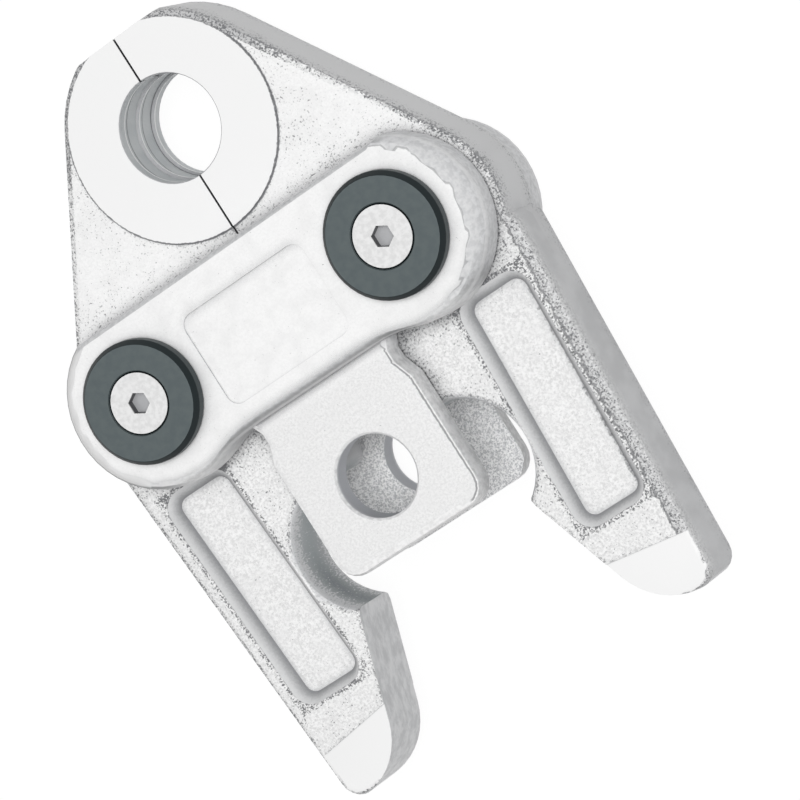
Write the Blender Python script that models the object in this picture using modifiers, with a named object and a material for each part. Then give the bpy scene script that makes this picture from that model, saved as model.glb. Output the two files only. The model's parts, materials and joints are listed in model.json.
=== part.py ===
"""Press jaw of a pipe pressing tool.

Two forged jaws turn on two pins between two T-shaped plates. Together they hold a split press
ring at the top. Below the pins their arms spread round the tool's rollers, and a small spring
between the jaws keeps the ring shut. The tool's retaining pin goes through the plates' tongues.

Frame: the jaw lies on the flat face of its back plate. +Z goes up out of the front plate, +Y
points from the pins to the press ring, and X goes across. The origin is on the back face,
midway between the two pins.
"""

import math

import bmesh
import bpy
from mathutils import Vector

# All sizes below are in millimetres, and MM turns them into Blender's metres.
MM = 0.001

# Clearances
FIT_GAP = 0.3        # between a fixed piece and its seat
RUN_GAP = 0.3        # between a jaw's hub and a plate, and round its pin
SPLIT_GAP = 0.35     # between the two jaws where the ring is split

# Pins, with the plates and the hubs that they carry
PIVOT_SPACING = 51.9
PIN_DIA = 14.0
PIN_HEAD_DIA = 19.0
PIN_HEAD_THICK = 3.0
PIN_HEAD_SUNK = 0.2
PIN_CHAMFER = 0.5

# Press ring
RING_Y = 35.55       # from the line of the pins to the ring's centre
RING_DIA = 37.6
RING_DROP = 0.45     # how much nearer to the pins the ring's outer circle is than its bore
RING_TOP_Y = 53.0    # flat ground across the top of the ring
RING_WIDTH = 16.4
BORE_DIA = 18.2
BORE_LIP = 2.4       # width of the plain lip at each end of the bore
BORE_RIB = 0.8       # width of the rib between the two grooves
GROOVE_DEPTH = 0.45
GROOVE_SLOPE = 0.35
BORE_CHAMFER = 0.15

# Jaw forging, about its pin, with x away from the other jaw
JAW_FRONT = 7.9      # the front face, from the middle of the press ring's width
JAW_BACK = 6.4       # the back face
JAW_ROUND = 1.5      # radius of the forging's edges
HUB_WIDTH = 17.2
HUB_PAD_DIA = 27.0
RING_MARGIN = 1.35   # forging left outside the turned ring
BOSS_RADIUS = 17.0
BOSS_END_Y = -7.2    # where the boss stops above the arm
ARM_ROOT_X = 16.3
ARM_ROOT_Y = -8.9
ARM_TAPER_DEG = 3.6
ARM_END_Y = -74.4
ARM_CORNER = 3.5
NOSE_X = 10.0        # centre of the nose that the rollers meet first
NOSE_RADIUS = 12.3
CREST_X = -7.9       # corner between the cam face and the roller recess
CREST_Y = -47.7
RECESS_X = -14.65
RECESS_Y = -38.0
RECESS_RADIUS = 11.7
RECESS_END_DEG = 72.0
HUB_END_Y = -27.2
HUB_CORNER = 2.5
HUB_RELIEF_DEG = 16.0  # slope of the inner face below the pins, which lets the jaw open
CAM_STOCK = 5.0      # forging machined away at the cam face

# Pockets in both faces of each arm
POCKET_TOP_Y = -14.6
POCKET_END_Y = -57.3
POCKET_OUTER_X = 12.65
POCKET_WIDTH = 13.7
POCKET_TAPER = 2.2   # how far both sides lean inwards along the pocket
POCKET_CORNER = 3.6
POCKET_DEPTH = 2.5
POCKET_DRAFT = 1.7

# Machined flats on both faces of each arm's end
FLAT_DEPTH = 0.2
FLAT_OUTER_Y = -65.3
FLAT_SLOPE_DEG = 8.2

# Plates
TONGUE_THICK = 4.5
BAR_THICK = 8.1
BAR_TOP_Y = 14.2
BAR_END_Y = -13.3
LOBE_RADIUS = 15.6
LOBE_BLEND = 22.0
BAR_ROUND = 1.1      # rounding of the bar's outer edge along its sides
BAR_END_ROUND = 1.75  # what the lobes' ends are rounded beyond that
BAR_ROUND_HEIGHT = 3.8
TONGUE_WIDTH = 30.0
TONGUE_END_Y = -43.6
TONGUE_CORNER = 4.0
TONGUE_ROUND = 1.4
NECK_WIDTH = 27.4
NECK_TOP_Y = -15.2
NECK_END_Y = -17.2
NECK_FLARE = 3.4
HOLE_DIA = 14.0
HOLE_Y = -31.1
HOLE_CHAMFER = 0.4
PANEL_WIDTH = 25.4
PANEL_HEIGHT = 17.0
PANEL_X = -0.6
PANEL_Y = -0.8
PANEL_CORNER = 2.2
PANEL_DEPTH = 0.35

# Retaining discs and their screws
DISC_DIA = 21.0
DISC_THICK = 2.7
DISC_CHAMFER = 0.75
DISC_CHAMFER_DEPTH = 0.9
SCREW_DIA = 5.0
SCREW_HEAD_DIA = 10.2
SCREW_HEAD_EDGE = 0.15
SCREW_LENGTH = 12.0
SCREW_SUNK = 0.1
HEX_ACROSS = 3.4
HEX_DEPTH = 1.7

# Closing spring
SPRING_DIA = 7.0     # outside
SPRING_WIRE = 1.1
SPRING_TURNS = 9
SPRING_LENGTH = 26.0
SPRING_Y = -17.0

# How finely round shapes are divided
ROUND_STEPS = 48
ARC_STEP_DEG = 8.0
CORNER_STEP_DEG = 18.0
EDGE_STEPS = 2
COIL_POINTS = 12

HALF_SPACING = PIVOT_SPACING / 2
HALF_GAP = HUB_WIDTH / 2 + RUN_GAP
MID_Z = HALF_GAP + BAR_THICK
FRONT_Z = MID_Z + HALF_GAP + BAR_THICK
BEYOND = 5.0         # how far a cutter runs past what it cuts


# Materials: colour, metallic and roughness
FORGED_STEEL = ((0.80, 0.80, 0.80), 0.6, 0.5)
PLATE_STEEL = ((0.82, 0.82, 0.82), 0.6, 0.45)
BLACK_STEEL = ((0.11, 0.13, 0.14), 0.3, 0.5)
SCREW_STEEL = ((0.78, 0.78, 0.78), 0.8, 0.35)
PIN_STEEL = ((0.70, 0.70, 0.72), 0.9, 0.3)
SPRING_STEEL = ((0.45, 0.46, 0.48), 0.9, 0.35)


def clear_scene():
    for thing in list(bpy.data.objects):
        bpy.data.objects.remove(thing)


def new_collection(name):
    collection = bpy.data.collections.new(name)
    bpy.context.scene.collection.children.link(collection)
    return collection


clear_scene()
PARTS = new_collection("press_jaw")
CUTTERS = new_collection("cutters")


def give_material(thing, name, look):
    colour, metallic, roughness = look
    material = bpy.data.materials.new(name)
    material.use_nodes = True
    shader = material.node_tree.nodes["Principled BSDF"]
    shader.inputs["Base Color"].default_value = (*colour, 1.0)
    shader.inputs["Metallic"].default_value = metallic
    shader.inputs["Roughness"].default_value = roughness
    material.diffuse_color = (*colour, 1.0)
    thing.data.materials.append(material)


def add_object(name, mesh, collection=None):
    """A mesh as an object, shaded smooth between its sharp edges."""
    mesh.shade_smooth()
    mesh.set_sharp_from_angle(angle=math.radians(30))
    thing = bpy.data.objects.new(name, mesh)
    (collection or CUTTERS).objects.link(thing)
    return thing


def mesh_from(name, build):
    """A new mesh that the given function fills, with its faces turned outwards."""
    shape = bmesh.new()
    build(shape)
    bmesh.ops.recalc_face_normals(shape, faces=shape.faces)
    mesh = bpy.data.meshes.new(name)
    shape.to_mesh(mesh)
    shape.free()
    return mesh


def arc(centre, radius, start_deg, end_deg, step_deg=ARC_STEP_DEG):
    """Points along an arc, from one angle to the other."""
    count = max(2, math.ceil(abs(end_deg - start_deg) / step_deg))
    points = []
    for index in range(count + 1):
        angle = math.radians(start_deg + (end_deg - start_deg) * index / count)
        points.append((centre[0] + radius * math.cos(angle), centre[1] + radius * math.sin(angle)))
    return points


def round_corner(before, corner, after, radius):
    """Points of the arc that rounds one corner of an outline."""
    corner = Vector(corner)
    back = (Vector(before) - corner).normalized()
    ahead = (Vector(after) - corner).normalized()
    half = back.angle(ahead) / 2
    centre = corner + (back + ahead).normalized() * (radius / math.sin(half))
    start = corner + back * (radius / math.tan(half)) - centre
    end = corner + ahead * (radius / math.tan(half)) - centre
    start_deg = math.degrees(math.atan2(start.y, start.x))
    turn = math.degrees(math.atan2(start.cross(end), start.dot(end)))
    return arc(centre, radius, start_deg, start_deg + turn, CORNER_STEP_DEG)


def rounded_outline(corners):
    """An outline from its corners, each given as x, y and radius."""
    points = []
    for index, (x, y, radius) in enumerate(corners):
        before = corners[index - 1][:2]
        after = corners[(index + 1) % len(corners)][:2]
        points += round_corner(before, (x, y), after, radius) if radius else [(x, y)]
    return points


def slab(name, outline, low, high, edge_round=0.0, flat_low=False, collection=None):
    """A flat piece of the given outline, with both edges rounded, or only the upper one."""
    bottom = low - edge_round if flat_low else low
    curve = bpy.data.curves.new(name, "CURVE")
    curve.dimensions = "2D"
    curve.fill_mode = "BOTH"
    curve.extrude = ((high - bottom) / 2 - edge_round) * MM
    curve.bevel_depth = edge_round * MM
    curve.bevel_resolution = EDGE_STEPS - 1
    curve.offset = -edge_round * MM
    spline = curve.splines.new("POLY")
    spline.points.add(len(outline) - 1)
    for point, (x, y) in zip(spline.points, outline):
        point.co = (x * MM, y * MM, 0.0, 1.0)
    spline.use_cyclic_u = True
    drawn = bpy.data.objects.new(name, curve)
    CUTTERS.objects.link(drawn)
    view = bpy.context.evaluated_depsgraph_get()
    filled = bpy.data.meshes.new_from_object(drawn.evaluated_get(view))
    bpy.data.objects.remove(drawn)

    def build(shape):
        shape.from_mesh(filled)
        bmesh.ops.translate(shape, vec=(0, 0, (bottom + high) / 2 * MM), verts=shape.verts)
        bmesh.ops.remove_doubles(shape, verts=shape.verts, dist=0.001 * MM)
        if flat_low:
            bmesh.ops.bisect_plane(
                shape,
                geom=shape.verts[:] + shape.edges[:] + shape.faces[:],
                plane_co=(0, 0, low * MM),
                plane_no=(0, 0, 1),
                clear_inner=True,
            )
            rim = [edge for edge in shape.edges if edge.is_boundary]
            bmesh.ops.edgeloop_fill(shape, edges=rim)

    return add_object(name, mesh_from(name, build), collection)


def loft(name, sections, collection=None):
    """A solid through sections with as many points each, closed flat at both ends."""

    def build(shape):
        rings = [[shape.verts.new(Vector(point) * MM) for point in section] for section in sections]
        count = len(rings[0])
        for lower, upper in zip(rings, rings[1:]):
            for index in range(count):
                following = (index + 1) % count
                shape.faces.new((lower[index], lower[following], upper[following], upper[index]))
        shape.faces.new(rings[0])
        shape.faces.new(rings[-1])

    return add_object(name, mesh_from(name, build), collection)


def turned(name, profile, collection=None):
    """A turned piece: its profile of x and z, running down the outer side, about the z axis."""
    mesh = bpy.data.meshes.new(name)
    edges = [(index, index + 1) for index in range(len(profile) - 1)]
    mesh.from_pydata([(x * MM, 0.0, z * MM) for x, z in profile], edges, [])
    thing = bpy.data.objects.new(name, mesh)
    (collection or CUTTERS).objects.link(thing)
    screw = thing.modifiers.new("turn", "SCREW")
    screw.steps = ROUND_STEPS
    screw.render_steps = ROUND_STEPS
    screw.use_merge_vertices = True
    screw.merge_threshold = 0.001 * MM
    screw.use_smooth_shade = True
    return thing


def cylinder(name, radius, low, high, centre=(0.0, 0.0), steps=ROUND_STEPS):
    """An upright cylinder between two heights."""

    def build(shape):
        bmesh.ops.create_cone(
            shape,
            cap_ends=True,
            segments=steps,
            radius1=radius * MM,
            radius2=radius * MM,
            depth=(high - low) * MM,
        )
        middle = (centre[0] * MM, centre[1] * MM, (low + high) / 2 * MM)
        bmesh.ops.translate(shape, vec=middle, verts=shape.verts)

    return add_object(name, mesh_from(name, build))


def shaped_by(thing, tool, operation):
    """Cut a piece with a tool, or join the tool to it. The tool follows the piece."""
    boolean = thing.modifiers.new(tool.name, "BOOLEAN")
    boolean.operation = operation
    boolean.object = tool
    tool.parent = thing
    tool.hide_render = True
    tool.display_type = "WIRE"


# Jaws


def jaw_outline():
    """The forging's outline, clockwise from the top of the ring."""
    ring = (-HALF_SPACING, RING_Y - RING_DROP)
    reach = RING_DIA / 2 + RING_MARGIN
    apart = math.hypot(*ring)
    towards_pin = math.degrees(math.atan2(-ring[1], HALF_SPACING))
    tangent_deg = towards_pin + math.degrees(math.acos((reach - BOSS_RADIUS) / apart))
    boss_end_deg = math.degrees(math.asin(BOSS_END_Y / BOSS_RADIUS))
    arm_end_x = ARM_ROOT_X - (ARM_ROOT_Y - ARM_END_Y) * math.tan(math.radians(ARM_TAPER_DEG))
    stock_x = NOSE_X - NOSE_RADIUS - CAM_STOCK
    relief = math.tan(math.radians(HUB_RELIEF_DEG))
    split_x = -HALF_SPACING + SPLIT_GAP / 2
    hub_x = split_x - HUB_END_Y * relief
    over_split_x = -HALF_SPACING - BEYOND
    recess = arc((RECESS_X, RECESS_Y), RECESS_RADIUS, -90.0, RECESS_END_DEG, ARC_STEP_DEG)

    start_deg = 180.0 - math.degrees(math.acos(BEYOND / reach))
    outline = arc(ring, reach, start_deg, tangent_deg)
    outline += arc((0.0, 0.0), BOSS_RADIUS, tangent_deg, boss_end_deg)
    outline.append((ARM_ROOT_X, ARM_ROOT_Y))
    outline += round_corner(
        (ARM_ROOT_X, ARM_ROOT_Y), (arm_end_x, ARM_END_Y), (stock_x, ARM_END_Y), ARM_CORNER
    )
    outline.append((stock_x, ARM_END_Y))
    outline += recess
    outline += round_corner(recess[-1], (hub_x, HUB_END_Y), (split_x, 0.0), HUB_CORNER)
    outline.append((over_split_x, BEYOND / relief))
    return outline


def cam_outline():
    """What is machined off the arm's inner side: the cam face and the nose."""
    nose = Vector((NOSE_X, ARM_END_Y + NOSE_RADIUS))
    crest = Vector((CREST_X, CREST_Y))
    to_nose = nose - crest
    lean = math.atan2(to_nose.y, to_nose.x) - math.asin(NOSE_RADIUS / to_nose.length)
    cam = Vector((math.cos(lean), math.sin(lean)))
    nose_start_deg = math.degrees(lean) - 90.0
    far_x = RECESS_X - RECESS_RADIUS
    outline = [tuple(crest - cam * BEYOND)]
    outline += arc(nose, NOSE_RADIUS, nose_start_deg, -90.0)
    outline += [(NOSE_X, ARM_END_Y - BEYOND), (far_x, ARM_END_Y - BEYOND), (far_x, CREST_Y + BEYOND)]
    return outline


def pocket_outline(inset):
    outer = POCKET_OUTER_X - inset
    inner = POCKET_OUTER_X - POCKET_WIDTH + inset
    top = POCKET_TOP_Y - inset
    end = POCKET_END_Y + inset
    radius = POCKET_CORNER - inset
    return rounded_outline(
        [
            (inner, top, radius),
            (outer, top, radius),
            (outer - POCKET_TAPER, end, radius),
            (inner - POCKET_TAPER, end, radius),
        ]
    )


def pocket_cutter(name, face, way):
    """A drafted pocket, from outside the face down to its floor. way is +1 or -1 along z."""
    rim = pocket_outline(0.0)
    floor = pocket_outline(POCKET_DRAFT)
    levels = [
        (rim, face + way * BEYOND),
        (rim, face),
        (floor, face - way * POCKET_DEPTH),
    ]
    return loft(name, [[(x, y, z) for x, y in outline] for outline, z in levels])


def flat_cutter(name, face, way):
    """The block that leaves a flat on the arm's end, slightly below the forged face."""
    slope = math.tan(math.radians(FLAT_SLOPE_DEG))
    inner_x = CREST_X - BEYOND
    outer_x = ARM_ROOT_X + BEYOND
    below = ARM_END_Y - BEYOND
    outline = [
        (inner_x, FLAT_OUTER_Y + (POCKET_OUTER_X - inner_x) * slope),
        (outer_x, FLAT_OUTER_Y + (POCKET_OUTER_X - outer_x) * slope),
        (outer_x, below),
        (inner_x, below),
    ]
    ends = sorted((face - way * FLAT_DEPTH, face + way * BEYOND))
    return slab(name, outline, *ends)


def bore_cutter(name):
    """The press contour: two shallow grooves between plain lips, with a rib between them."""
    lip = BORE_DIA / 2
    groove = lip + GROOVE_DEPTH
    half_width = RING_WIDTH / 2
    lip_z = half_width - BORE_LIP
    rib_z = BORE_RIB / 2
    upper = [
        (0.0, half_width + BEYOND),
        (lip + BORE_CHAMFER, half_width + BEYOND),
        (lip + BORE_CHAMFER, half_width),
        (lip, half_width - BORE_CHAMFER),
        (lip, lip_z),
        (groove, lip_z - GROOVE_SLOPE),
        (groove, rib_z + GROOVE_SLOPE),
        (lip, rib_z),
    ]
    lower = [(x, -z) for x, z in reversed(upper)]
    cutter = turned(name, upper + lower)
    cutter.location = (-HALF_SPACING * MM, RING_Y * MM, 0.0)
    return cutter


def spring_bore_cutter(name):
    """The blind bore for one end of the closing spring, along x."""
    end_x = SPRING_LENGTH / 2 + FIT_GAP - HALF_SPACING
    low = -HALF_SPACING - BEYOND
    cutter = cylinder(name, SPRING_DIA / 2 + FIT_GAP, low, end_x, steps=ROUND_STEPS // 2)
    cutter.rotation_euler = (0.0, math.radians(90), 0.0)
    cutter.location = (0.0, SPRING_Y * MM, 0.0)
    return cutter


def make_jaw(name, side):
    """One jaw about its pin, as the right one lies. The left one is made face down and turned over."""
    low, high = sorted((side * JAW_FRONT, -side * JAW_BACK))
    jaw = slab(name, jaw_outline(), low, high, JAW_ROUND, collection=PARTS)
    ring_centre = (-HALF_SPACING, RING_Y - RING_DROP)
    drum = cylinder(name + "_drum", RING_DIA / 2, -RING_WIDTH / 2, RING_WIDTH / 2, ring_centre)
    pad = cylinder(name + "_pad", HUB_PAD_DIA / 2, -HUB_WIDTH / 2, HUB_WIDTH / 2)
    shaped_by(jaw, drum, "UNION")
    shaped_by(jaw, pad, "UNION")

    split_x = -HALF_SPACING + SPLIT_GAP / 2
    split_from = -HALF_SPACING - RING_DIA
    split_low = HUB_END_Y - BEYOND
    split_high = RING_Y + RING_DIA
    split_and_top = [
        (split_from, split_low),
        (split_x, split_low),
        (split_x, RING_TOP_Y),
        (HALF_SPACING, RING_TOP_Y),
        (HALF_SPACING, split_high),
        (split_from, split_high),
    ]
    deep = RING_WIDTH / 2 + BEYOND
    shaped_by(jaw, slab(name + "_split", split_and_top, -deep, deep), "DIFFERENCE")
    shaped_by(jaw, slab(name + "_cam", cam_outline(), -deep, deep), "DIFFERENCE")
    shaped_by(jaw, bore_cutter(name + "_bore"), "DIFFERENCE")
    pin_hole = cylinder(name + "_pin_hole", PIN_DIA / 2 + RUN_GAP, -deep, deep)
    shaped_by(jaw, pin_hole, "DIFFERENCE")
    shaped_by(jaw, spring_bore_cutter(name + "_spring_bore"), "DIFFERENCE")
    for label, face, way in (("upper", high, 1), ("lower", low, -1)):
        shaped_by(jaw, pocket_cutter(f"{name}_{label}_pocket", face, way), "DIFFERENCE")
        shaped_by(jaw, flat_cutter(f"{name}_{label}_flat", face, way), "DIFFERENCE")

    give_material(jaw, name + "_steel", FORGED_STEEL)
    jaw.location = (side * HALF_SPACING * MM, 0.0, MID_Z * MM)
    if side < 0:
        jaw.rotation_euler = (0.0, math.radians(180), 0.0)
    return jaw


# Plates, each with z = 0 on its inner face and its outer face up


def bar_outline(inset, lean):
    """The bar's outline, clockwise from its upper left, drawn in by inset, its ends by lean too."""
    radius = LOBE_RADIUS - inset
    blend = LOBE_BLEND + inset
    centre_x = HALF_SPACING - lean
    top = BAR_TOP_Y - inset
    end = BAR_END_Y + inset
    top_deg = math.degrees(math.asin(top / radius))
    blend_centre_y = end - blend
    blend_run = math.sqrt((radius + blend) ** 2 - blend_centre_y ** 2)
    meet_deg = math.degrees(math.atan2(blend_centre_y, -blend_run))
    right = arc((centre_x, 0.0), radius, top_deg, meet_deg)
    blend_centre = (centre_x - blend_run, blend_centre_y)
    right += arc(blend_centre, blend, meet_deg + 180.0, 90.0, ARC_STEP_DEG)[1:]
    left = [(-x, y) for x, y in reversed(right)]
    return right + left


def tongue_outline():
    """The tongue below the bar, with the neck where it leaves the bar."""
    side = TONGUE_WIDTH / 2
    neck = NECK_WIDTH / 2
    shoulder_y = NECK_END_Y - NECK_FLARE
    root_y = BAR_END_Y + BAR_ROUND
    right = [
        (neck + (NECK_END_Y - NECK_TOP_Y), root_y, 0.0),
        (neck + (root_y - NECK_TOP_Y) / 2, root_y, 0.0),
        (neck, NECK_TOP_Y, BAR_ROUND),
        (neck, NECK_END_Y, NECK_FLARE / 2),
        (side, shoulder_y, NECK_FLARE / 2),
        (side, TONGUE_END_Y, TONGUE_CORNER),
    ]
    left = [(-x, y, radius) for x, y, radius in reversed(right)]
    return rounded_outline(right + left)


def hole_cutter(name):
    """The hole for the tool's retaining pin, chamfered at the outer face."""
    radius = HOLE_DIA / 2
    profile = [
        (0.0, TONGUE_THICK + BEYOND),
        (radius + HOLE_CHAMFER + BEYOND, TONGUE_THICK + BEYOND),
        (radius, TONGUE_THICK - HOLE_CHAMFER),
        (radius, -BEYOND),
        (0.0, -BEYOND),
    ]
    cutter = turned(name, profile)
    cutter.location = (0.0, HOLE_Y * MM, 0.0)
    return cutter


def panel_cutter(name):
    """The shallow recess for a label, which stays bare."""
    half_width = PANEL_WIDTH / 2
    half_height = PANEL_HEIGHT / 2
    corners = [
        (PANEL_X - half_width, PANEL_Y + half_height, PANEL_CORNER),
        (PANEL_X + half_width, PANEL_Y + half_height, PANEL_CORNER),
        (PANEL_X + half_width, PANEL_Y - half_height, PANEL_CORNER),
        (PANEL_X - half_width, PANEL_Y - half_height, PANEL_CORNER),
    ]
    return slab(name, rounded_outline(corners), BAR_THICK - PANEL_DEPTH, BAR_THICK + BEYOND)


def make_plate(name, is_front):
    sections = [[(x, y, 0.0) for x, y in bar_outline(0.0, 0.0)]]
    steps = EDGE_STEPS + 1
    for index in range(steps + 1):
        turn = math.radians(90.0 * index / steps)
        drawn_in = 1.0 - math.cos(turn)
        height = BAR_THICK - BAR_ROUND_HEIGHT * (1.0 - math.sin(turn))
        outline = bar_outline(BAR_ROUND * drawn_in, BAR_END_ROUND * drawn_in)
        sections.append([(x, y, height) for x, y in outline])
    plate = loft(name, sections, PARTS)

    outline = tongue_outline()
    tongue = slab(name + "_tongue", outline, 0.0, TONGUE_THICK, TONGUE_ROUND, flat_low=True)
    shaped_by(plate, tongue, "UNION")
    shaped_by(plate, hole_cutter(name + "_hole"), "DIFFERENCE")
    for label, way in (("left", -1), ("right", 1)):
        centre = (way * HALF_SPACING, 0.0)
        through = cylinder(
            f"{name}_{label}_bore", PIN_DIA / 2 + FIT_GAP, -BEYOND, BAR_THICK + BEYOND, centre
        )
        shaped_by(plate, through, "DIFFERENCE")
        if not is_front:
            seat = cylinder(
                f"{name}_{label}_seat",
                PIN_HEAD_DIA / 2 + FIT_GAP,
                BAR_THICK - PIN_HEAD_SUNK - PIN_HEAD_THICK - FIT_GAP,
                BAR_THICK + BEYOND,
                centre,
            )
            shaped_by(plate, seat, "DIFFERENCE")
    if is_front:
        shaped_by(plate, panel_cutter(name + "_panel"), "DIFFERENCE")

    give_material(plate, name + "_steel", PLATE_STEEL)
    if is_front:
        plate.location = (0.0, 0.0, (MID_Z + HALF_GAP) * MM)
    else:
        plate.location = (0.0, 0.0, (MID_Z - HALF_GAP) * MM)
        plate.rotation_euler = (0.0, math.radians(180), 0.0)
    return plate


# Pins, discs and screws, all turned about a pin's axis


def place_on_pin(thing, side):
    thing.location = (side * HALF_SPACING * MM, 0.0, 0.0)


def make_pin(name, side):
    """A headed pin, its head let into the back plate, with a bore for the screw at its front end."""
    radius = PIN_DIA / 2
    head = PIN_HEAD_DIA / 2
    bottom = PIN_HEAD_SUNK
    head_top = bottom + PIN_HEAD_THICK
    top = FRONT_Z - FIT_GAP
    screw_bore = SCREW_DIA / 2 + FIT_GAP
    bore_end = FRONT_Z + DISC_THICK - SCREW_LENGTH - 2 * FIT_GAP
    profile = [
        (0.0, bore_end),
        (screw_bore, bore_end),
        (screw_bore, top),
        (radius - PIN_CHAMFER, top),
        (radius, top - PIN_CHAMFER),
        (radius, head_top),
        (head, head_top),
        (head, bottom + PIN_CHAMFER),
        (head - PIN_CHAMFER, bottom),
        (0.0, bottom),
    ]
    pin = turned(name, profile, collection=PARTS)
    place_on_pin(pin, side)
    give_material(pin, name + "_steel", PIN_STEEL)


def make_disc(name, side):
    """The retaining disc on the front plate, countersunk for its screw."""
    outer = DISC_DIA / 2
    bottom = FRONT_Z + FIT_GAP
    top = bottom + DISC_THICK
    seat = SCREW_HEAD_DIA / 2 + FIT_GAP
    hole = SCREW_DIA / 2 + FIT_GAP
    edge_z = top - SCREW_SUNK - SCREW_HEAD_EDGE
    blank = [
        (0.0, top),
        (outer - DISC_CHAMFER, top),
        (outer, top - DISC_CHAMFER_DEPTH),
        (outer, bottom),
        (0.0, bottom),
    ]
    screw_seat = [
        (0.0, top + BEYOND),
        (seat, top + BEYOND),
        (seat, edge_z),
        (hole, edge_z - (seat - hole)),
        (hole, bottom - BEYOND),
        (0.0, bottom - BEYOND),
    ]
    disc = turned(name, blank, collection=PARTS)
    shaped_by(disc, turned(name + "_seat", screw_seat), "DIFFERENCE")
    place_on_pin(disc, side)
    give_material(disc, name + "_finish", BLACK_STEEL)


def make_screw(name, side):
    """A countersunk screw with a hexagon socket, its head level with the disc."""
    head = SCREW_HEAD_DIA / 2
    shank = SCREW_DIA / 2
    top = FRONT_Z + FIT_GAP + DISC_THICK - SCREW_SUNK
    edge_z = top - SCREW_HEAD_EDGE
    end = FRONT_Z + DISC_THICK - SCREW_LENGTH
    profile = [
        (0.0, top),
        (head, top),
        (head, edge_z),
        (shank, edge_z - (head - shank)),
        (shank, end + PIN_CHAMFER),
        (shank - PIN_CHAMFER, end),
        (0.0, end),
    ]
    screw = turned(name, profile, collection=PARTS)
    across_corners = HEX_ACROSS / math.cos(math.radians(30))
    socket = cylinder(name + "_socket", across_corners / 2, top - HEX_DEPTH, top + BEYOND, steps=6)
    shaped_by(screw, socket, "DIFFERENCE")
    place_on_pin(screw, side)
    give_material(screw, name + "_steel", SCREW_STEEL)


def make_spring(name):
    """The closing spring: a coil along x, its ends in the two jaws' bores."""
    coil_radius = (SPRING_DIA - SPRING_WIRE) / 2
    run = SPRING_LENGTH - SPRING_WIRE
    count = SPRING_TURNS * COIL_POINTS
    curve = bpy.data.curves.new(name, "CURVE")
    curve.dimensions = "3D"
    curve.bevel_depth = SPRING_WIRE / 2 * MM
    curve.bevel_resolution = 2
    curve.use_fill_caps = True
    spline = curve.splines.new("POLY")
    spline.points.add(count)
    for index, point in enumerate(spline.points):
        angle = 2 * math.pi * index / COIL_POINTS
        x = -run / 2 + run * index / count
        y = coil_radius * math.cos(angle)
        z = coil_radius * math.sin(angle)
        point.co = (x * MM, y * MM, z * MM, 1.0)
    spring = bpy.data.objects.new(name, curve)
    PARTS.objects.link(spring)
    spring.location = (0.0, SPRING_Y * MM, MID_Z * MM)
    give_material(spring, name + "_steel", SPRING_STEEL)


make_plate("front_plate", True)
make_plate("back_plate", False)
for side_name, side_sign in (("left", -1), ("right", 1)):
    make_jaw(side_name + "_jaw", side_sign)
    make_pin(side_name + "_pin", side_sign)
    make_disc(side_name + "_disc", side_sign)
    make_screw(side_name + "_screw", side_sign)
make_spring("closing_spring")
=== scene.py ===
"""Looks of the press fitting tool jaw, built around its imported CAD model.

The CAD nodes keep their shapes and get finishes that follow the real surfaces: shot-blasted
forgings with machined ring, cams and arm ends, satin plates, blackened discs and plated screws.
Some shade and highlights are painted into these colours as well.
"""

import json
import math

import bpy
from mathutils import Euler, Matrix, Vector

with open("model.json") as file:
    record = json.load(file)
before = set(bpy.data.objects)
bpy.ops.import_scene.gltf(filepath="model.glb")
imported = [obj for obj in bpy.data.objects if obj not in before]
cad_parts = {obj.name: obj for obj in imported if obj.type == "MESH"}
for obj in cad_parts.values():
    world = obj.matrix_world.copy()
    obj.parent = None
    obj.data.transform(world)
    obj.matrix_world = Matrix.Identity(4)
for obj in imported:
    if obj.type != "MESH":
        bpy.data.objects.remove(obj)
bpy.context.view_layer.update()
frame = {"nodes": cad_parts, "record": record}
nodes = frame["nodes"]

MM = 0.001

# Sizes of the part in mm. Each x counts from the middle, both ways.
MID_Z = 17.0           # middle of the press ring's width, above the back face
PIN_X = 25.95
SCREW_TOP = 36.9
SOCKET_RADIUS = 2.0
RING_CENTRE = (0.0, 35.1)
RING_RADIUS = 18.75
RING_LINE_RADIUS = 19.15
BORE_CENTRE = (0.0, 35.55)
BORE_RADIUS = 9.8
BORE_SHADOW_LINES = (4.3, -1.9, -5.4)      # heights above the middle
BORE_HIGHLIGHT_LINES = (6.1, 0.1, -6.2)
JOINT_X = 0.5          # walls nearer the middle than this are the faces where the jaws meet
JAW_FRONT_Z = 24.9
JAW_BACK_Z = 10.6
BOSS_RADIUS = 17.0
ARM_TOP_Y = -8.9
ARM_OUTER_X = 42.25    # the arm's outer side at its top
ARM_LEAN = 0.0629      # how far that side leans inwards for each mm along the arm
ARM_EDGE = 2.3         # from the arm's outer side to its parting line
TIP_Y = -59.8          # upper end of the machined tips, on the middle line
TIP_LEAN = 0.144       # how far that end drops for each mm sideways
CAM_TOP_Y = -47.55
CAM_OUTER_X = 36.45
RECESS_OUTER_X = 23.8
POCKET_TOP_Y = -14.6
POCKET_END_Y = -57.3
POCKET_LEAN = 0.0515
POCKET_SIDES = (24.9, 38.6)
POCKET_DRAFT = 1.7
HOLE_CENTRE = (0.0, -31.1)
HOLE_RADIUS = 7.2
BAR_LOWER_Y = -14.0
INNER_FACE = 9.0       # the plates' inner faces, from the middle
TONGUE_FACE = 13.4

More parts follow.
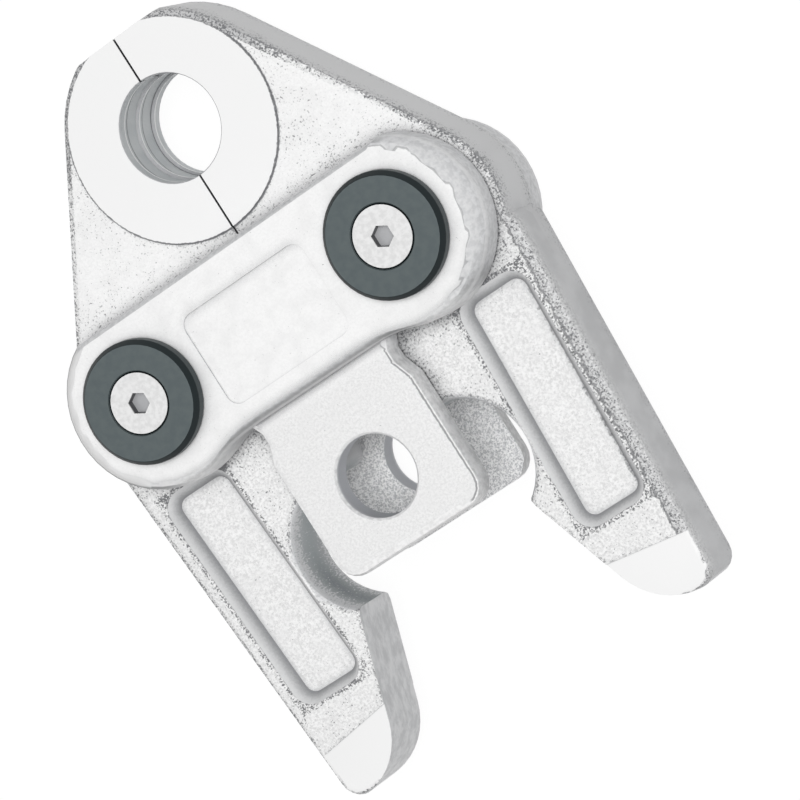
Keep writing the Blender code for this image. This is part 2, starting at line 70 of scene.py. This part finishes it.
# Edges, camera, floor and light, in metres and degrees.
WELD_DISTANCE = 0.002 * MM
EDGE_WIDTH = 0.15 * MM
EDGE_ANGLE = 35.0
CAMERA_PLACE = (0.24718, -0.050118, 0.597994)
CAMERA_TURN = (-10.5726, 20.262, -34.8914)
CAMERA_LENS = 171.689
FLOOR_HALF = 1.5
FLOOR_GREY = 0.5
FLOOR_SEEN_LIGHT = 1.1
FLOOR_SEEN_SHARE = 0.86
SKY_LIGHT = 0.25
KEY_PLACE = (0.45, -0.03, 1.42)
KEY_TARGET = (0.0, -0.01, 0.02)
KEY_SIZE = 0.8
KEY_POWER = 20.0
WHITE = (1.0, 1.0, 1.0, 1.0)

scene = bpy.context.scene


# Node helpers


class Graph:
    """A material's node tree, with short calls for the nodes that this script uses.

    x, y and z give the place on the part in mm, and normal_x to normal_z which way it faces.
    """

    def __init__(self, name):
        self.material = bpy.data.materials.new(name)
        self.material.use_nodes = True
        self.tree = self.material.node_tree
        self.shader = self.tree.nodes["Principled BSDF"]
        self.coords = self.tree.nodes.new("ShaderNodeTexCoord")
        place = self.split(self.coords.outputs["Object"])
        self.x, self.y, self.z = [self.math("MULTIPLY", axis, 1.0 / MM) for axis in place]
        self.normal_x, self.normal_y, self.normal_z = self.split(self.coords.outputs["Normal"])

    def split(self, vector):
        node = self.tree.nodes.new("ShaderNodeSeparateXYZ")
        self.tree.links.new(vector, node.inputs[0])
        return node.outputs

    def put(self, value, socket):
        if hasattr(value, "is_linked"):
            self.tree.links.new(value, socket)
        else:
            socket.default_value = value

    def math(self, operation, a, b=0.0):
        node = self.tree.nodes.new("ShaderNodeMath")
        node.operation = operation
        self.put(a, node.inputs[0])
        self.put(b, node.inputs[1])
        return node.outputs[0]

    def chain(self, operation, first, *others):
        result = first
        for value in others:
            result = self.math(operation, result, value)
        return result

    def plus(self, *values):
        return self.chain("ADD", *values)

    def times(self, *values):
        return self.chain("MULTIPLY", *values)

    def largest(self, *values):
        return self.chain("MAXIMUM", *values)

    def smallest(self, *values):
        return self.chain("MINIMUM", *values)

    def minus(self, a, b):
        return self.math("SUBTRACT", a, b)

    def rest(self, mask):
        """What a mask leaves out."""
        return self.minus(1.0, mask)

    def absolute(self, value):
        return self.math("ABSOLUTE", value)

    def ramp(self, value, start, end, low=0.0, high=1.0):
        """value taken from start..end to low..high, smoothly and clamped."""
        node = self.tree.nodes.new("ShaderNodeMapRange")
        node.interpolation_type = "SMOOTHSTEP"
        for v, socket in zip((value, start, end, low, high), node.inputs):
            self.put(v, socket)
        return node.outputs[0]

    def mix(self, factor, a, b):
        node = self.tree.nodes.new("ShaderNodeMix")
        node.data_type = "RGBA"
        self.put(factor, node.inputs["Factor"])
        self.put(a, node.inputs[6])
        self.put(b, node.inputs[7])
        return node.outputs[2]

    def mix_value(self, factor, a, b):
        node = self.tree.nodes.new("ShaderNodeMix")
        self.put(factor, node.inputs["Factor"])
        self.put(a, node.inputs[2])
        self.put(b, node.inputs[3])
        return node.outputs[0]

    def noise(self, scale, detail=2.0, roughness=0.5, stretch=(1.0, 1.0, 1.0)):
        """Noise whose scale counts features per millimetre."""
        mapping = self.tree.nodes.new("ShaderNodeMapping")
        self.tree.links.new(self.coords.outputs["Object"], mapping.inputs[0])
        mapping.inputs["Scale"].default_value = [s / MM for s in stretch]
        node = self.tree.nodes.new("ShaderNodeTexNoise")
        self.tree.links.new(mapping.outputs[0], node.inputs["Vector"])
        node.inputs["Scale"].default_value = scale
        node.inputs["Detail"].default_value = detail
        node.inputs["Roughness"].default_value = roughness
        return node.outputs[0]

    def bump(self, height, distance, strength):
        """Relief of the surface, with distance in mm."""
        node = self.tree.nodes.new("ShaderNodeBump")
        node.inputs["Strength"].default_value = strength
        node.inputs["Distance"].default_value = distance * MM
        self.put(height, node.inputs["Height"])
        self.tree.links.new(node.outputs[0], self.shader.inputs["Normal"])

    def set(self, name, value):
        self.put(value, self.shader.inputs[name])

    def near(self, value, centre, half_width, fade):
        """1 where value is within half_width of centre, fading to 0 over fade."""
        off = self.absolute(self.minus(value, centre))
        return self.ramp(off, half_width + fade, half_width)

    def distance(self, x, y):
        """Distance in mm from the upright line through x and y, or its mirror image."""
        along = self.minus(self.absolute(self.x), x)
        up = self.minus(self.y, y)
        return self.math("SQRT", self.plus(self.times(along, along), self.times(up, up)))

    def from_middle(self):
        """Distance in mm above or below the middle of the jaw."""
        return self.absolute(self.minus(self.z, MID_Z))

    def sheltered(self, reach, start, end):
        """0 in the open, up to 1 in corners and gaps narrower than reach in mm."""
        node = self.tree.nodes.new("ShaderNodeAmbientOcclusion")
        node.samples = 5
        node.inputs["Distance"].default_value = reach * MM
        return self.rest(self.ramp(node.outputs["AO"], start, end))

    def soft_normal(self, radius):
        """The normal, in the object's axes, as if every edge were rounded to radius in mm."""
        node = self.tree.nodes.new("ShaderNodeBevel")
        node.samples = 4
        node.inputs["Radius"].default_value = radius * MM
        turn = self.tree.nodes.new("ShaderNodeVectorTransform")
        turn.vector_type = "NORMAL"
        turn.convert_from = "WORLD"
        turn.convert_to = "OBJECT"
        self.tree.links.new(node.outputs[0], turn.inputs[0])
        return self.split(turn.outputs[0])


def tint(*levels):
    """Linear colour of three sRGB levels from 0 to 255."""
    shares = [level / 255.0 for level in levels]
    linear = [s / 12.92 if s <= 0.04045 else ((s + 0.055) / 1.055) ** 2.4 for s in shares]
    return (*linear, 1.0)


def grey(value, blue=0.0):
    """A grey level from 0 to 255, with a little blue if asked for."""
    return tint(value, value + 0.3 * blue, value + blue)


# Finishes


def inside_pocket(g, across):
    """Distance in mm from the nearest side of the arm's pocket, negative outside it.

    The pocket leans inwards towards the arm's end.
    """
    down_pocket = g.minus(POCKET_TOP_Y, g.y)
    pocket_x = g.plus(across, g.times(down_pocket, POCKET_LEAN))
    inner, outer = POCKET_SIDES
    return g.smallest(g.minus(pocket_x, inner), g.minus(outer, pocket_x),
                      down_pocket, g.minus(g.y, POCKET_END_Y))


def recess_painted_shade(g, depth, grain):
    """Painted shade in the roller recess: dark, darkest far below the jaw's faces, lighter at its
    top where the wall faces down, and frayed towards the jaw's faces.
    """
    limit = g.ramp(depth, 0.0, 6.0, 0.36, 0.62)
    frayed = g.ramp(g.noise(3.4, 3.0, 0.7, (1.0, 1.0, 0.3)), limit, g.plus(limit, 0.05))
    scale = g.mix(grain, tint(124, 131, 134), tint(138, 144, 147))
    scale = g.mix(g.ramp(g.normal_y, 0.4, -0.5), scale, tint(170, 176, 178))
    scale = g.mix(g.ramp(depth, 1.0, 7.0), tint(186, 189, 190), scale)
    return g.mix(frayed, scale, grey(222, 2))


def bore_colour(g, up, clouds):
    """The press contour, with painted highlight lines along its lips and its rib, and painted
    shadow lines beside them.
    """
    above_middle = g.minus(g.z, MID_Z)
    wall = g.mix(clouds, tint(202, 206, 208), tint(214, 217, 218))
    colour = g.mix(g.ramp(up, 0.2, 0.4), wall, grey(184, 3))
    for height in BORE_SHADOW_LINES:
        colour = g.mix(g.near(above_middle, height, 0.06, 0.1), colour, grey(130, 5))
    for height in BORE_HIGHLIGHT_LINES:
        colour = g.mix(g.near(above_middle, height, 0.14, 0.1), colour, grey(255))
    return colour


def forged_steel():
    g = Graph("jaw_steel")
    # up is 1 on level faces and 0 on walls, and depth counts the mm below the nearer face.
    up = g.absolute(g.normal_z)
    depth = g.smallest(g.minus(JAW_FRONT_Z, g.z), g.minus(g.z, JAW_BACK_Z))
    across = g.absolute(g.x)
    from_ring = g.distance(*RING_CENTRE)
    flat_face = g.ramp(up, 0.93, 0.97)
    wall_face = g.ramp(up, 0.3, 0.15)
    side = g.ramp(up, 0.7, 0.3)

    ring = g.times(g.ramp(from_ring, RING_RADIUS + 0.05, RING_RADIUS - 0.05), flat_face)
    tip_line = g.plus(g.y, g.times(across, TIP_LEAN))
    tip = g.times(g.ramp(tip_line, TIP_Y + 0.1, TIP_Y - 0.1), flat_face)
    along_cam = g.ramp(g.y, CAM_TOP_Y + 0.15, CAM_TOP_Y - 0.15)
    within_arm = g.ramp(across, CAM_OUTER_X + 0.15, CAM_OUTER_X - 0.15)
    cam = g.times(along_cam, within_arm, wall_face)
    joint = g.times(g.ramp(across, JOINT_X + 0.1, JOINT_X - 0.1), wall_face)
    machined = g.largest(ring, tip, cam, joint)
    rough = g.rest(machined)

    from_side = inside_pocket(g, across)
    in_pocket = g.times(g.ramp(from_side, -0.2, -0.1), g.ramp(depth, 0.05, 0.2))
    out_of_pocket = g.rest(in_pocket)
    pocket_wall = g.times(in_pocket, g.ramp(up, 0.85, 0.75), g.ramp(up, 0.3, 0.4))
    pocket_rim = g.times(g.ramp(from_side, -1.0, -0.4), out_of_pocket, flat_face)
    recess = g.times(g.ramp(up, 0.97, 0.9), out_of_pocket,
                     g.ramp(across, RECESS_OUTER_X + 0.2, RECESS_OUTER_X - 0.2),
                     g.rest(along_cam), g.ramp(g.y, -25.0, -28.0))
    in_bore = g.times(g.ramp(g.distance(*BORE_CENTRE), BORE_RADIUS + 0.05, BORE_RADIUS),
                      g.ramp(up, 0.9, 0.8))
    sheltered = g.sheltered(4.5, 0.3, 0.85)

    soft_tilt = g.rest(g.absolute(g.soft_normal(1.2)[2]))
    rim = g.times(g.ramp(soft_tilt, 0.002, 0.06), flat_face, out_of_pocket)
    round_edge = g.times(g.ramp(up, 0.99, 0.94), g.ramp(up, 0.1, 0.4), out_of_pocket)
    edge = g.times(g.largest(rim, pocket_rim, round_edge), rough)

    blotches = g.noise(0.3, 3.0, 0.55)
    grain = g.ramp(g.noise(2.3, 3.5, 0.72), 0.36, 0.62)
    clouds = g.ramp(g.noise(0.2, 3.0, 0.5, (1.0, 1.0, 0.5)), 0.35, 0.65)
    on_arm = g.ramp(g.y, 4.0, -10.0)
    by_ring = g.ramp(g.y, -26.0, 22.0)
    pale = g.mix(grain, g.mix(on_arm, grey(236), grey(214)), grey(243))
    pale = g.mix(g.times(g.ramp(blotches, 0.4, 0.7), 0.5), pale, grey(231))
    low_wall = g.mix(clouds, grey(188, 2), grey(200, 2))
    wall = g.mix(side, pale, g.mix(by_ring, low_wall, grey(212, 1)))

    # Specks of scale gather where the forging turns over its edges, and more are put into corners
    # and gaps as painted shade.
    by_boss = g.times(g.ramp(g.distance(PIN_X, 0.0), BOSS_RADIUS + 5.0, BOSS_RADIUS + 0.3),
                      g.ramp(depth, 7.0, 0.5))
    crowd = g.ramp(blotches, 0.35, 0.7, -0.02, 0.035)
    for mask, weight in (
        (edge, 0.12), (on_arm, 0.018), (by_boss, 0.035), (sheltered, 0.12),
        (in_pocket, -0.05), (pocket_wall, -0.2),
    ):
        crowd = g.plus(crowd, g.times(mask, weight))
    crowd = g.plus(crowd, g.ramp(from_ring, 27.0, 19.0, 0.0, 0.03),
                   g.times(side, g.ramp(depth, 1.0, 9.0, 0.07, -0.16)))

    # An uneven parting line runs along the outer edge of one side of the forging, which is the
    # front of the right arm and the back of the left one.
    down_arm = g.minus(ARM_TOP_Y, g.y)
    to_arm_side = g.minus(ARM_OUTER_X, g.plus(across, g.times(down_arm, ARM_LEAN)))
    ragged = g.times(g.minus(g.noise(0.9, 4.0, 0.7), 0.5), 2.4)
    past_parting = g.plus(g.minus(g.plus(ragged, ARM_EDGE), to_arm_side), depth)
    parting_side = g.ramp(g.times(g.x, g.minus(g.z, MID_Z)), 0.0, 1.0)
    on_parting = g.times(parting_side, g.ramp(down_arm, -6.0, 0.0), rough)
    parting_band = g.times(g.ramp(past_parting, 0.0, 0.15), on_parting)
    parting_line = g.times(g.near(past_parting, 0.1, 0.12, 0.2), on_parting, flat_face)
    crowd = g.mix_value(parting_band, crowd, g.ramp(past_parting, 0.0, 9.0, 0.13, -0.16))
    limit = g.plus(crowd, 0.362)
    specks = g.times(g.ramp(g.noise(2.7, 3.5, 0.72), limit, g.minus(limit, 0.05)), rough)

    patchy = g.ramp(g.noise(1.3, 3.0, 0.65), 0.4, 0.6)
    # Rounded edges are greyer, in patches, and all over close to the ring.
    greyed_edge = g.largest(g.times(patchy, 0.8), g.ramp(from_ring, 22.0, 20.5))
    colour = g.mix(g.times(round_edge, greyed_edge), wall, grey(196, 1))
    band = g.mix(grain, grey(188, 1), grey(218, 1))
    band = g.mix(g.ramp(past_parting, 2.0, 7.0), band, low_wall)
    colour = g.mix(parting_band, colour, band)
    colour = g.mix(g.times(parting_line, 0.75), colour, grey(112, 3))
    colour = g.mix(machined, colour, grey(238))

    # Painted shade: the pockets' walls darken towards the floor, and the floor does towards the
    # walls.
    wall_foot_shade = g.ramp(g.plus(depth, g.times(grain, 0.25)), 0.3, 2.7)
    colour = g.mix(pocket_wall, colour, g.mix(wall_foot_shade, grey(222, 1), grey(146, 3)))
    floor_edge_shade = g.times(in_pocket, flat_face, g.ramp(from_side, POCKET_DRAFT + 0.9, POCKET_DRAFT))
    colour = g.mix(g.times(floor_edge_shade, 0.5), colour, grey(195, 2))

    streaks = g.ramp(g.noise(0.8, 4.0, 0.65, (1.0, 0.3, 0.6)), 0.35, 0.65)
    colour = g.mix(g.times(cam, 0.85), colour, g.mix(streaks, grey(176, 3), grey(208, 2)))
    colour = g.mix(specks, colour, g.mix(side, grey(116, 3), grey(142, 3)))
    # Painted shade fills the roller recess.
    colour = g.mix(recess, colour, recess_painted_shade(g, depth, grain))
    # A dark, uneven line runs just outside the machined ring.
    ring_line_noise = g.times(g.noise(1.6, 3.0, 0.6), 0.5)
    ring_line = g.near(g.plus(from_ring, ring_line_noise), RING_LINE_RADIUS, 0.1, 0.12)
    colour = g.mix(g.times(flat_face, ring_line), colour, grey(125, 3))
    colour = g.mix(in_bore, colour, bore_colour(g, up, clouds))
    # Only the outermost part of the joint faces is dark, for the line between the closed jaws.
    seam = g.times(joint, g.ramp(g.from_middle(), 7.25, 7.4))
    colour = g.mix(seam, colour, grey(70, 4))
    # Painted shade in corners and gaps, weaker in the bore and the recess.
    shade = g.times(sheltered, g.mix_value(g.largest(in_bore, recess), 0.54, 0.3))
    g.set("Base Color", g.mix(shade, colour, grey(100, 5)))
    g.set("Metallic", 0.25)
    g.set("Roughness", g.mix_value(rough, 0.36, 0.5))
    relief = g.plus(g.noise(2.4, 2.5, 0.6), g.times(specks, -0.4))
    g.bump(g.times(relief, rough), 0.1, 0.55)
    return g.material


def plate_steel():
    g = Graph("plate_steel")
    off_middle = g.from_middle()
    up = g.absolute(g.normal_z)
    inside = g.times(g.ramp(off_middle, INNER_FACE + 0.1, INNER_FACE - 0.05),
                     g.ramp(up, 0.9, 0.95))
    in_hole = g.times(g.ramp(up, 0.4, 0.2),
                      g.ramp(g.distance(*HOLE_CENTRE), HOLE_RADIUS + 0.1, HOLE_RADIUS))
    on_tongue = g.ramp(g.y, BAR_LOWER_Y + 1.0, BAR_LOWER_Y - 2.0)

    blotches = g.noise(0.3, 3.0, 0.55)
    grain = g.ramp(g.noise(2.3, 3.5, 0.7), 0.36, 0.62)
    dull = g.mix(on_tongue, grey(238), grey(222))
    pale = g.mix(grain, dull, g.mix(on_tongue, grey(243), grey(237)))
    pale = g.mix(g.times(g.ramp(blotches, 0.4, 0.7), 0.5), pale, grey(230))
    limit = g.ramp(blotches, 0.35, 0.7, 0.29, 0.34)
    specks = g.ramp(g.noise(3.4, 3.0, 0.7), limit, g.minus(limit, 0.05))
    colour = g.mix(specks, pale, grey(155, 2))
    coarse = g.ramp(g.noise(3.4, 2.0, 0.7), 0.38, 0.6)
    colour = g.mix(inside, colour, g.mix(coarse, grey(196, 3), grey(255)))
    # Painted shade in the pin hole: its wall darkens away from the tongue's face.
    hole_rim = g.ramp(off_middle, TONGUE_FACE - 1.4, TONGUE_FACE - 0.1)
    colour = g.mix(in_hole, colour, g.mix(hole_rim, grey(186, 7), grey(226, 4)))

    # The rounded edges carry painted shade: darker than the flats, with an uneven border between
    # them, darkest on the bar's underside and towards the left, and lightest on the tongue.
    waves = g.minus(g.ramp(g.noise(1.3, 4.0, 0.7), 0.3, 0.7), 0.5)
    wavy_up = g.plus(up, g.times(waves, g.mix_value(on_tongue, 0.009, 0.01)))
    turned_down = g.times(g.ramp(wavy_up, 0.98, 0.945), g.rest(in_hole))
    streaks = g.ramp(g.noise(1.1, 3.0, 0.6), 0.35, 0.65)
    upper_band = g.mix(streaks, grey(198, 2), grey(214, 1))
    lower_band = g.mix(streaks, grey(198, 2), grey(218, 2))
    rounded = g.mix(g.ramp(wavy_up, 0.66, 0.5), upper_band, lower_band)
    underside_shade = g.mix(g.ramp(up, 0.97, 0.6), grey(236), g.mix(streaks, grey(158, 2), grey(174, 2)))
    rounded = g.mix(g.ramp(g.normal_y, -0.7, -0.93), rounded, underside_shade)
    left_side_shade = g.mix(g.ramp(up, 0.7, 0.4), grey(228), grey(152, 2))
    rounded = g.mix(g.ramp(g.normal_x, -0.05, -0.3), rounded, left_side_shade)
    tongue_edge_shading = g.mix(g.ramp(g.normal_x, 0.2, 0.6), g.mix(streaks, grey(226), grey(244)),
                        g.mix(streaks, grey(200, 1), grey(226, 1)))
    rounded = g.mix(on_tongue, rounded, tongue_edge_shading)
    # A painted highlight runs along the lower part of the rounded edges.
    rounded = g.mix(g.times(g.near(wavy_up, 0.16, 0.04, 0.09), 0.4), rounded, grey(240))
    # Painted shade along the bar's lower edge, as if that edge were rounded more widely.
    lower_rim_shade = g.times(g.ramp(g.soft_normal(2.5)[1], -0.02, -0.5),
                        g.ramp(g.y, BAR_LOWER_Y - 1.0, BAR_LOWER_Y),
                        g.ramp(off_middle, 11.5, 12.0))
    colour = g.mix(g.times(lower_rim_shade, 0.85), colour, grey(164, 2))
    colour = g.mix(turned_down, colour, rounded)
    # A painted dark line where the rounding begins on edges facing +x, stronger on the tongue.
    edge_shade_line = g.times(g.near(wavy_up, 0.962, 0.008, 0.012), g.ramp(g.normal_x, 0.0, 0.1))
    colour = g.mix(g.times(edge_shade_line, g.mix_value(on_tongue, 0.5, 0.8)), colour, grey(122, 3))
    # Painted shade in corners and gaps between the parts.
    shade = g.times(g.sheltered(2.2, 0.25, 0.75), 0.5)
    g.set("Base Color", g.mix(shade, colour, grey(120, 4)))
    g.set("Metallic", 0.25)
    g.set("Roughness", g.mix_value(inside, 0.48, 0.6))
    g.bump(g.plus(g.noise(2.0, 3.0, 0.6), g.times(inside, coarse)), 0.08, 0.45)
    return g.material


def blackened_steel():
    g = Graph("disc_black")
    up = g.absolute(g.normal_z)
    clouds = g.ramp(g.noise(0.7, 3.0, 0.5), 0.3, 0.7)
    face = g.mix(clouds, tint(84, 92, 94), tint(89, 97, 98))
    # Painted shade: the disc's wall is painted darker than its face, and its chamfer darkest.
    colour = g.mix(g.ramp(up, 0.5, 0.3), face, tint(44, 53, 55))
    chamfer = g.times(g.ramp(up, 0.95, 0.88), g.ramp(up, 0.3, 0.4))
    g.set("Base Color", g.mix(chamfer, colour, tint(17, 26, 28)))
    g.set("Metallic", 0.0)
    g.set("Roughness", g.mix_value(clouds, 0.46, 0.4))
    g.set("Specular IOR Level", 0.25)
    g.bump(g.noise(4.0, 2.0, 0.5), 0.03, 0.2)
    return g.material


def plated_screw():
    g = Graph("screw_steel")
    from_axis = g.distance(PIN_X, 0.0)
    socket = g.times(g.ramp(from_axis, SOCKET_RADIUS + 0.1, SOCKET_RADIUS),
                     g.ramp(g.z, SCREW_TOP - 0.2, SCREW_TOP - 0.3))
    clouds = g.ramp(g.noise(1.2, 3.0, 0.55), 0.35, 0.65)
    # Painted shade in the hex socket: its walls are painted dark and its floor mid-grey.
    inside = g.mix(g.ramp(g.absolute(g.normal_z), 0.3, 0.7), grey(80, 3), grey(176, 3))
    g.set("Base Color", g.mix(socket, g.mix(clouds, grey(216), grey(229)), inside))
    g.set("Metallic", 0.3)
    g.set("Roughness", g.mix_value(clouds, 0.42, 0.36))
    g.bump(g.noise(2.5, 3.0, 0.55), 0.04, 0.35)
    return g.material


def plain_steel(name, colour, metallic):
    g = Graph(name)
    clouds = g.ramp(g.noise(0.8, 3.0, 0.5), 0.3, 0.7)
    darker = tuple(c * 0.88 for c in colour[:3]) + (1.0,)
    g.set("Base Color", g.mix(clouds, darker, colour))
    g.set("Metallic", metallic)
    g.set("Roughness", g.mix_value(clouds, 0.41, 0.35))
    g.bump(g.noise(4.0, 2.0, 0.5), 0.04, 0.25)
    return g.material


FINISHES = {
    "jaw_steel": forged_steel(),
    "plate_steel": plate_steel(),
    "pin_steel": plain_steel("pin_steel", grey(205, 3), 0.6),
    "disc_black": blackened_steel(),
    "screw_steel": plated_screw(),
    "spring_steel": plain_steel("spring_steel", grey(150, 5), 0.7),
}

for part in frame["record"]["subparts"]:
    node = nodes[part["node"]]
    finish = FINISHES[part["material_slot"]]
    if not node.data.materials:
        node.data.materials.append(finish)
    for index in range(len(node.material_slots)):
        node.material_slots[index].material = finish
    weld = node.modifiers.new("weld", "WELD")
    weld.merge_threshold = WELD_DISTANCE
    bevel = node.modifiers.new("edge", "BEVEL")
    bevel.width = EDGE_WIDTH
    bevel.segments = 2
    bevel.limit_method = "ANGLE"
    bevel.angle_limit = math.radians(EDGE_ANGLE)
    bevel.harden_normals = False
    even = node.modifiers.new("even", "WEIGHTED_NORMAL")
    even.keep_sharp = False
    even.weight = 100


# Camera, floor and light

camera_data = bpy.data.cameras.new("camera")
camera = bpy.data.objects.new("camera", camera_data)
scene.collection.objects.link(camera)
camera.location = CAMERA_PLACE
camera.rotation_euler = Euler([math.radians(a) for a in CAMERA_TURN], "XYZ")
camera_data.lens = CAMERA_LENS
camera_data.sensor_width = 36.0
camera_data.clip_start = 0.01
scene.camera = camera


def seen_by_eye(tree):
    """1 for what the camera sees directly, in a reflection or through something clear."""
    rays = tree.nodes.new("ShaderNodeLightPath")
    total = rays.outputs["Is Camera Ray"]
    for kind in ("Is Glossy Ray", "Is Transmission Ray"):
        either = tree.nodes.new("ShaderNodeMath")
        either.operation = "MAXIMUM"
        tree.links.new(total, either.inputs[0])
        tree.links.new(rays.outputs[kind], either.inputs[1])
        total = either.outputs[0]
    return total


def add_floor():
    """A pale floor, which the camera sees almost as white."""
    corners = [(-1, -1), (1, -1), (1, 1), (-1, 1)]
    mesh = bpy.data.meshes.new("floor")
    mesh.from_pydata([(FLOOR_HALF * x, FLOOR_HALF * y, 0.0) for x, y in corners],
                     [], [(0, 1, 2, 3)])
    floor = bpy.data.objects.new("floor", mesh)
    scene.collection.objects.link(floor)
    floor.location.z = -0.1 * MM
    material = bpy.data.materials.new("floor")
    material.use_nodes = True
    tree = material.node_tree
    diffuse = tree.nodes["Principled BSDF"]
    diffuse.inputs["Base Color"].default_value = (FLOOR_GREY, FLOOR_GREY, FLOOR_GREY, 1.0)
    diffuse.inputs["Roughness"].default_value = 0.9
    white = tree.nodes.new("ShaderNodeEmission")
    white.inputs["Color"].default_value = WHITE
    white.inputs["Strength"].default_value = FLOOR_SEEN_LIGHT
    share = tree.nodes.new("ShaderNodeMath")
    share.operation = "MULTIPLY"
    tree.links.new(seen_by_eye(tree), share.inputs[0])
    share.inputs[1].default_value = FLOOR_SEEN_SHARE
    mixed = tree.nodes.new("ShaderNodeMixShader")
    tree.links.new(share.outputs[0], mixed.inputs[0])
    tree.links.new(diffuse.outputs[0], mixed.inputs[1])
    tree.links.new(white.outputs[0], mixed.inputs[2])
    tree.links.new(mixed.outputs[0], tree.nodes["Material Output"].inputs[0])
    mesh.materials.append(material)


def add_key_light():
    data = bpy.data.lights.new("key", "AREA")
    data.shape = "RECTANGLE"
    data.size = KEY_SIZE
    data.size_y = KEY_SIZE
    data.energy = KEY_POWER
    lamp = bpy.data.objects.new("key", data)
    scene.collection.objects.link(lamp)
    lamp.location = KEY_PLACE
    lamp.visible_glossy = False
    way = Vector(KEY_TARGET) - Vector(KEY_PLACE)
    lamp.rotation_euler = way.to_track_quat("-Z", "Y").to_euler()


def add_sky():
    """A weak even light, which the camera sees as white."""
    world = bpy.data.worlds.new("world")
    scene.world = world
    world.use_nodes = True
    tree = world.node_tree
    light = tree.nodes["Background"]
    light.inputs["Color"].default_value = WHITE
    light.inputs["Strength"].default_value = SKY_LIGHT
    seen = tree.nodes.new("ShaderNodeBackground")
    seen.inputs["Color"].default_value = WHITE
    seen.inputs["Strength"].default_value = 1.0
    choice = tree.nodes.new("ShaderNodeMixShader")
    tree.links.new(seen_by_eye(tree), choice.inputs[0])
    tree.links.new(light.outputs[0], choice.inputs[1])
    tree.links.new(seen.outputs[0], choice.inputs[2])
    tree.links.new(choice.outputs[0], tree.nodes["World Output"].inputs[0])


add_floor()
add_key_light()
add_sky()
scene.view_settings.view_transform = "Standard"
